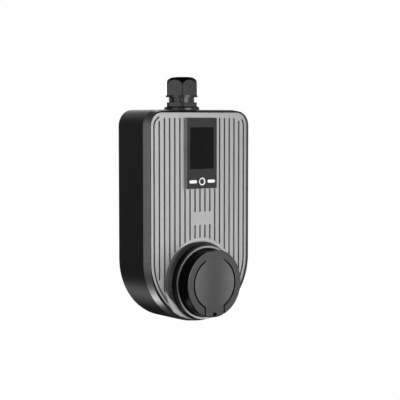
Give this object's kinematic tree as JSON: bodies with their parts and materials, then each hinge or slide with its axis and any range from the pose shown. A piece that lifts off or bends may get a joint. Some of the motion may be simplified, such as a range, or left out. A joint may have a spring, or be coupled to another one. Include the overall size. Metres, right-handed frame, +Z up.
{
  "type": "wall box charger",
  "caption": "D-shaped wall charger for electric vehicles with grooved front, display block, lidded socket outlet and top cable gland.",
  "frame": {"origin": "centre of the four wall inserts, on the flat back face", "axes": "+X to the right seen from the front, the front faces -Y, +Z up"},
  "size_m": [0.138, 0.0817, 0.2664],
  "materials": {
    "shell_black": "fine moulded texture",
    "band_gunmetal": "satin gunmetal paint",
    "panel_silver": "satin silver paint",
    "bezel_grey": "satin",
    "screen_black": "polished",
    "screen_unit": "polished",
    "light_white": "translucent white",
    "button_black": "satin",
    "socket_black": "satin",
    "lid_black": "satin",
    "seal_rubber": "matte",
    "contact_brass": "machined",
    "steel": "zinc plated",
    "gland_black": "satin nylon",
    "board_green": "solder mask",
    "terminal_plastic": "moulded",
    "relay_plastic": "moulded",
    "core_iron": "ferrite",
    "capacitor_can": "sleeved can"
  },
  "bodies": {
    "housing": {"rear_shell": "shell_black", "housing_gasket": "seal_rubber", "mid_frame": "band_gunmetal", "front_panel": "panel_silver", "display_bezel": "bezel_grey", "display_lens": "screen_black", "display_module": "screen_unit", "display_spacer": "seal_rubber", "control_board": "board_green", "light_guide_left": "light_white", "light_guide_right": "light_white", "button_ring": "light_white", "tact_switch": "button_black", "status_lights": "light_white", "socket_gasket": "seal_rubber", "socket_housing": "socket_black", "contact_block": "socket_black", "power_contacts": "contact_brass", "signal_contacts": "contact_brass", "lid_hinge_pin": "steel", "lid_spring": "steel", "lock_actuator": "relay_plastic", "gland_washer": "gland_black", "gland_body": "gland_black", "gland_dome_nut": "gland_black", "gland_seal": "seal_rubber", "gland_locknut": "gland_black", "wall_inserts": "contact_brass", "housing_screws": "steel", "panel_screws": "steel", "socket_screws": "steel", "main_board": "board_green", "board_screws": "steel", "terminal_block": "terminal_plastic", "power_relays": "relay_plastic", "supply_transformer": "core_iron", "leakage_sensor": "relay_plastic", "filter_capacitors": "capacitor_can"},
    "lid": {"socket_lid": "lid_black", "lid_seal": "seal_rubber"},
    "button": {"push_button": "button_black", "switch_plunger": "button_black"},
    "lock": {"lock_pin": "steel"}
  },
  "joints": [
    {"name": "lid_hinge", "type": "hinge", "parent": "housing", "child": "lid", "pos_m": [0, -0.0706, -0.0387], "axis": [-1, 0, 0], "range_deg": [0, 93], "stiffness_Nm_per_rad": 0.02, "springref_deg": -51.57},
    {"name": "button_press", "type": "slide", "parent": "housing", "child": "button", "axis": [0, 1, 0], "range_m": [0, 0.0007], "stiffness_N_per_m": 1000, "springref_m": -0.0002},
    {"name": "lock_slide", "type": "slide", "parent": "housing", "child": "lock", "axis": [0, 0, -1], "range_m": [0, 0.006]}
  ]
}
